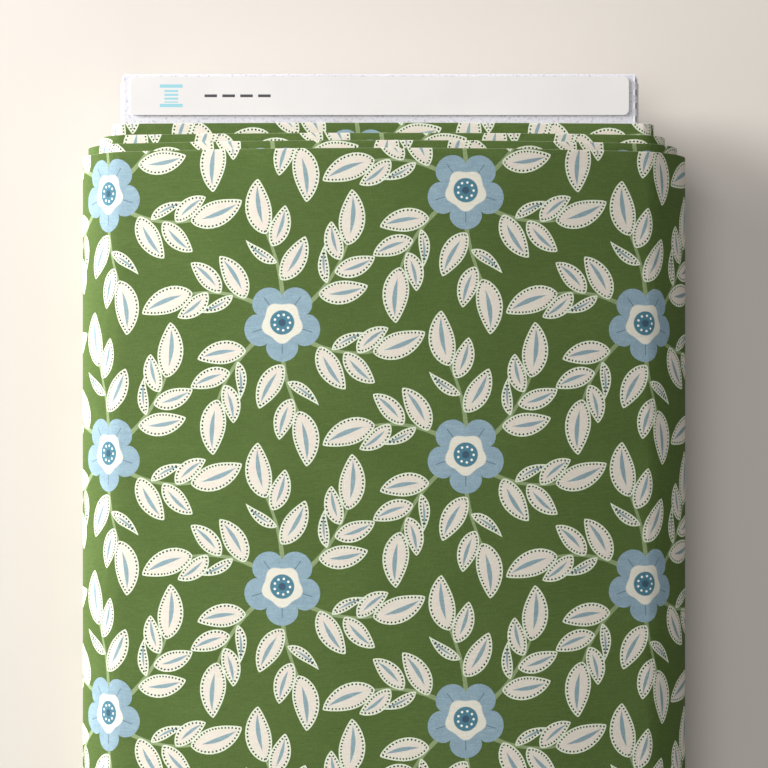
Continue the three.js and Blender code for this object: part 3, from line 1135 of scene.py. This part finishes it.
def raw_edges(s, colour, x, z):
    """The corrugation that shows on the cut ends of the panels, with painted shade in the open flutes
    between the facing papers.
    """
    facing = s.tree.nodes.new("ShaderNodeTexCoord")
    normal = axis_fields(s, facing.outputs["Normal"])
    on_end = normal[1].math("ABSOLUTE") > 0.85
    front = z - BOARD_FRONT + SHEET / 2
    back = z - BOARD_BACK - SHEET / 2
    depth = front.math("ABSOLUTE").math("MINIMUM", back.math("ABSOLUTE"))
    core = SHEET / 2 - LINER
    wave = (x * (math.tau / FLUTE_PITCH)).math("SINE") * core
    in_front = front.math("ABSOLUTE") < SHEET / 2
    height = front * in_front + back * (in_front * -1 + 1)
    flute = (height - wave).math("ABSOLUTE").ramp(0.3, 0.15)
    # Painted shade: the hollows between the flutes drawn dark brown.
    gap = depth.ramp(core, core - 0.1) * (flute * -1 + 1) * on_end
    return s.mix(gap, colour, linear(92, 84, 74))


def board_material():
    s = Surface("white_board", 0.72)
    place = s.place()
    x, y, z = axis_fields(s, place, MM)
    cloudy = s.noise(place, 9, 4).ramp(0.35, 0.65)
    colour = s.mix(cloudy, linear(211, 211, 218), linear(221, 221, 227))
    speck = s.noise(place, 900, 2)
    colour = s.mix(speck.ramp(0.56, 0.66) * 0.7, colour, linear(176, 175, 188))
    colour = s.mix(speck.ramp(0.38, 0.30) * 0.6, colour, linear(236, 236, 242))
    scuff = s.noise(s.stretched(place, (30, 6, 30)), 1.0, 4)
    colour = s.mix(scuff.ramp(0.62, 0.75) * 0.3, colour, linear(188, 184, 182))
    colour = crease_cuts(s, colour, x, y, z)
    colour = raw_edges(s, colour, x, z)
    s.paint(colour)
    fibre = s.noise(place, 420, 3)
    s.rough(fibre * 0.2 + 0.6)
    s.bump(fibre, 0.0002, 0.4)
    return s.material


MARK_BLUE = linear(150, 205, 216)
MARK_GREY = linear(74, 74, 78)
SPOOL_PLACE = 16.0  # from the label's left end to the middle of its mark
STITCHES_FROM, STITCHES_TO = 29.0, 56.0
STITCH_PITCH = 7.0


def bar(x, y, middle, size):
    """A field that is 1 inside an upright rectangle."""
    across = (x - middle[0]).math("ABSOLUTE").ramp(size[0] / 2 + 0.08, size[0] / 2 - 0.08)
    along = (y - middle[1]).math("ABSOLUTE").ramp(size[1] / 2 + 0.08, size[1] / 2 - 0.08)
    return across * along


def label_material():
    """White paper, printed with a plain spool of thread and a line of stitches."""
    low, high = millimetres("end_label")
    s = Surface("label_paper", 0.55)
    place = s.place()
    x, y, _ = axis_fields(s, place, MM)
    middle = (low[1] + high[1]) / 2
    shade = s.noise(place, 30, 3).ramp(0.3, 0.7)
    colour = s.mix(shade, linear(222, 220, 219), linear(228, 226, 225))
    spool = low[0] + SPOOL_PLACE
    lines = ((y - middle) * (math.tau / 1.5)).math("SINE").ramp(-0.3, 0.1)
    colour = s.mix(bar(x, y, (spool, middle), (5.4, 5.4)) * lines, colour, MARK_BLUE)
    for side in (-1, 1):
        cap = bar(x, y, (spool, middle + side * 3.8), (9.0, 1.3))
        colour = s.mix(cap, colour, MARK_BLUE)
    start, end = low[0] + STITCHES_FROM, low[0] + STITCHES_TO
    row = bar(x, y, ((start + end) / 2, middle), (end - start, 1.1))
    gaps = ((x - start) / STITCH_PITCH).math("FRACT") < 0.7
    colour = s.mix(row * gaps, colour, MARK_GREY)
    s.paint(colour)
    fibre = s.noise(place, 700, 3)
    s.rough(fibre * 0.15 + 0.5)
    s.bump(fibre, 0.00005, 0.3)
    return s.material


def tape_material():
    s = Surface("paper_tape", 0.7)
    place = s.place()
    creped = s.noise(s.stretched(place, (300, 40, 300)), 1.0, 3)
    s.paint(s.mix(creped.ramp(0.3, 0.7), linear(214, 200, 168), linear(232, 220, 190)))
    s.rough(creped * 0.2 + 0.6)
    s.bump(creped, 0.0002, 0.6)
    return s.material


def floor_material():
    s = Surface("floor", 0.9)
    place = s.place()
    s.paint(s.mix(s.noise(place, 3).ramp(0.3, 0.7), linear(214, 208, 201), linear(218, 212, 205)))
    return s.material


# ---- Assembly -------------------------------------------------------------------------------

FLOWER_ON_FRONT = (30.8, 256.4)  # x and y of one printed flower on the front, in millimetres
JOIN_SHARE = 0.94  # where the outer turn's drawn length begins, across the back
TURN_JOIN = 0.995  # where the wound cloth's drawn length ends, across the front
TAIL_SHOWN = 14.0  # how far before the tail its inner print is drawn
# The outer turn bends between these places when the tail lifts; the slope between them keeps
# the left side and the underside still.
BEND_START, BEND_END = (0.1145, 0, 0.0405), (0.1185, 0, 0.0275)


def add_cloth():
    cotton = cotton_material()
    repeat = make_repeat()
    front_middle = WINDING.run_at(LAST, 2, 0.5)
    middle_x = WINDING.at(np.array([front_middle]))[0][0, 0]
    phase = np.array([
        front_middle + FLOWER_ON_FRONT[0] - middle_x,
        FLOWER_ON_FRONT[1] - (FOLD_PLACE[LAST] - FOLD_RADIUS - FOLD_START),
    ])
    join = WINDING.run_at(LAST, 0, JOIN_SHARE)
    turn_join = WINDING.run_at(LAST - 1, 2, TURN_JOIN)
    tail_start = WINDING.run_at(LAST, 3, 0.0) - TAIL_SHOWN
    outer = folded_cloth(
        "fabric_outer_turn", repeat, phase, join, WINDING.length, tail_start, cotton
    )
    back = folded_cloth("fabric_back_turn", repeat, phase, turn_join, join, None, cotton)
    wound = wound_cloth(repeat, phase, turn_join, cotton)
    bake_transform(outer, "bolt", "tail", BEND_START, BEND_END)
    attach(back, "bolt")
    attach(wound, "bolt")
    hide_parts("fabric_tail")
    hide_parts("fabric_outer_turns")
    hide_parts("fabric_inner_turns", "fabric_second_turns", "fabric_third_turns")


def add_floor():
    mesh = bpy.data.meshes.new("floor")
    half = FLOOR_SIZE / 2
    corners = [(x * half, y * half, FLOOR_LEVEL) for x, y in ((-1, -1), (1, -1), (1, 1), (-1, 1))]
    mesh.from_pydata(corners, [], [(0, 1, 2, 3)])
    mesh.materials.append(floor_material())
    floor = bpy.data.objects.new("floor", mesh)
    bpy.context.collection.objects.link(floor)


add_camera()
add_lights()
add_floor()
add_board()
add_cloth()

bpy.context.view_layer.update()
